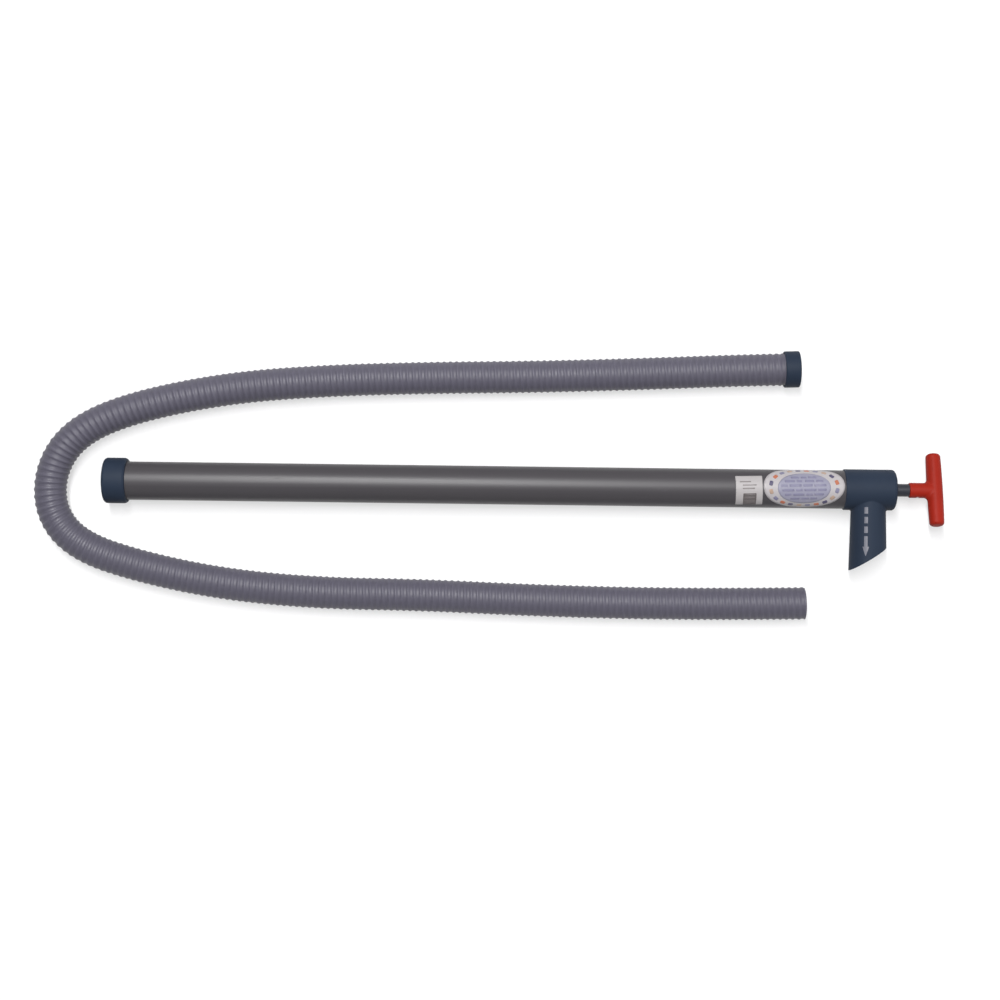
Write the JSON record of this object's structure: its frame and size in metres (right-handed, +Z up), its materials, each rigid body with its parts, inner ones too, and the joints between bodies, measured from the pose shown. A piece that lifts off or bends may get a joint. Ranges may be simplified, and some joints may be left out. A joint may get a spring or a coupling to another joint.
{
  "type": "hand bilge pump",
  "caption": "Long tubular hand bilge pump with a slant-cut side spout, foot valve, sliding T-handle plunger and a loose ribbed hose with an end cuff.",
  "frame": {"origin": "on the barrel's axis at the foot cap's inlet face", "axes": "+X along the barrel from the foot to the handle, +Z up from the floor the set lies on, and the spout points to -Y"},
  "size_m": [0.9993, 0.2977, 0.05],
  "materials": {
    "barrel_pvc": "extruded grey PVC pipe, satin",
    "navy_plastic": "moulded slate-navy plastic, satin",
    "rubber": "matt black",
    "natural_nylon": "natural moulded nylon",
    "stainless": "brushed stainless",
    "rod_plastic": "extruded dark grey PVC, satin",
    "handle_red": "moulded red, semi-gloss",
    "label_film": "printed film",
    "hose_pvc": "ribbed purple-grey flexible PVC"
  },
  "bodies": {
    "pump_body": {"barrel_tube": "barrel_pvc", "foot_cap": "navy_plastic", "foot_seat_gasket": "rubber", "foot_valve_seat": "natural_nylon", "foot_valve_stem": "stainless", "foot_valve_clip": "stainless", "discharge_head": "navy_plastic", "rod_guide": "natural_nylon", "rod_wiper": "rubber", "guide_circlip": "stainless", "oval_label": "label_film", "square_label": "label_film"},
    "foot_valve": {"foot_valve_disc": "rubber", "foot_valve_plate": "natural_nylon"},
    "piston_seal": {"cup_seal": "rubber"},
    "plunger": {"plunger_rod": "rod_plastic", "rod_end_plug": "natural_nylon", "piston_hub": "natural_nylon", "cup_retainer": "natural_nylon", "piston_screw": "stainless", "valve_stop_washer": "natural_nylon", "stop_sleeve": "natural_nylon", "sleeve_pin": "stainless", "stop_bumper": "rubber", "t_handle": "handle_red", "handle_pin": "stainless"},
    "piston_valve": {"piston_valve_disc": "rubber", "piston_valve_plate": "natural_nylon"},
    "hose": {"hose": "hose_pvc", "hose_cuff": "navy_plastic"}
  },
  "joints": [
    {"name": "plunger_slide", "type": "slide", "parent": "pump_body", "child": "piston_seal", "axis": [1, 0, 0], "range_m": [0, 0.7377]},
    {"name": "plunger_turn", "type": "hinge", "parent": "piston_seal", "child": "plunger", "pos_m": [0, 0, 0], "axis": [1, 0, 0], "continuous": true},
    {"name": "piston_valve_lift", "type": "slide", "parent": "plunger", "child": "piston_valve", "axis": [1, 0, 0], "range_m": [0, 0.003]},
    {"name": "foot_valve_lift", "type": "slide", "parent": "pump_body", "child": "foot_valve", "axis": [1, 0, 0], "range_m": [0, 0.004]},
    {"name": "hose_lift", "type": "slide", "parent": "pump_body", "child": "hose", "axis": [0, 0, 1], "range_m": [0, 0.1]}
  ]
}
